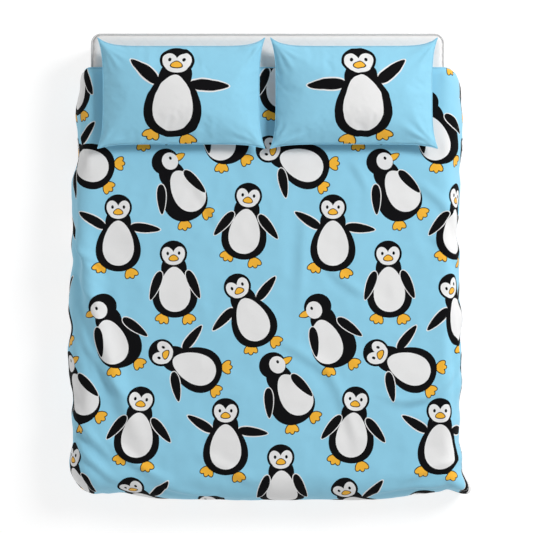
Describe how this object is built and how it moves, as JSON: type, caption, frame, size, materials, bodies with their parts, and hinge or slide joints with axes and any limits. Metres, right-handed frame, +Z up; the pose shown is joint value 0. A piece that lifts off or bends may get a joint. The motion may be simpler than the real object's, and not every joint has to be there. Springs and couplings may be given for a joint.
{
  "type": "bedding set on a mattress",
  "caption": "Made-up double bed top: a duvet in a zipped, bird-print cover draped over a plain white mattress, with matching stuffed pillows.",
  "frame": {"origin": "centre of the mattress's underside, on the floor", "axes": "+Z up, +Y towards the head of the bed, +X to the right as seen from above with the head at the top"},
  "size_m": [1.82, 2.105, 0.475],
  "materials": {
    "printed_cotton": "matt woven cotton, sky blue ground with a printed bird motif",
    "pillow_back_cotton": "matt woven cotton, plain sky blue",
    "lining_cotton": "matt woven cotton, white",
    "fibre_filling": "lofted polyester fibre",
    "white_ticking": "matt white ticking",
    "zip_tape": "woven tape, sky blue",
    "zip_coil": "nylon coil, sky blue",
    "zip_metal": "satin, light grey",
    "foam": "open-cell foam",
    "mattress_piping": "woven edge tape over cord, white",
    "mattress_knit": "matt white knit"
  },
  "bodies": {
    "mattress": {"mattress_base_panel": "mattress_knit", "mattress_border": "mattress_knit", "mattress_comfort_foam": "foam", "mattress_piping_lower": "mattress_piping", "mattress_piping_upper": "mattress_piping", "mattress_support_foam": "foam", "mattress_top_panel": "mattress_knit", "mattress_transition_foam": "foam"},
    "duvet": {"duvet_corner_ties": "lining_cotton", "duvet_cover_face": "printed_cotton", "duvet_cover_lining": "lining_cotton", "duvet_cover_seam_rim": "lining_cotton", "duvet_filling": "fibre_filling", "zip_coil_face": "zip_coil", "zip_coil_lining": "zip_coil", "zip_stops": "zip_metal", "zip_tape_face": "zip_tape", "zip_tape_lining": "zip_tape"},
    "pillow_left": {"pillow_left_cover_back": "pillow_back_cotton", "pillow_left_cover_flap": "pillow_back_cotton", "pillow_left_cover_front": "printed_cotton", "pillow_left_filling": "fibre_filling", "pillow_left_ticking_lower": "white_ticking", "pillow_left_ticking_upper": "white_ticking"},
    "pillow_right": {"pillow_right_cover_back": "pillow_back_cotton", "pillow_right_cover_flap": "pillow_back_cotton", "pillow_right_cover_front": "printed_cotton", "pillow_right_filling": "fibre_filling", "pillow_right_ticking_lower": "white_ticking", "pillow_right_ticking_upper": "white_ticking"},
    "zip_slider": {"zip_slider": "zip_metal"},
    "zip_pull_tab": {"zip_pull_tab": "zip_metal"}
  },
  "joints": [
    {"name": "duvet_lift", "type": "slide", "parent": "mattress", "child": "duvet", "axis": [0, 0, 1], "range_m": [0, 0.4]},
    {"name": "pillow_left_lift", "type": "slide", "parent": "duvet", "child": "pillow_left", "axis": [0, 0, 1], "range_m": [0, 0.3]},
    {"name": "pillow_right_lift", "type": "slide", "parent": "duvet", "child": "pillow_right", "axis": [0, 0, 1], "range_m": [0, 0.3]},
    {"name": "zip_slider_travel", "type": "slide", "parent": "duvet", "child": "zip_slider", "axis": [-1, 0, 0], "range_m": [0, 1.06]},
    {"name": "zip_tab_swing", "type": "hinge", "parent": "zip_slider", "child": "zip_pull_tab", "pos_m": [0.532, -1.093, 0.0254], "axis": [0, 1, 0], "range_deg": [-80, 80]}
  ]
}
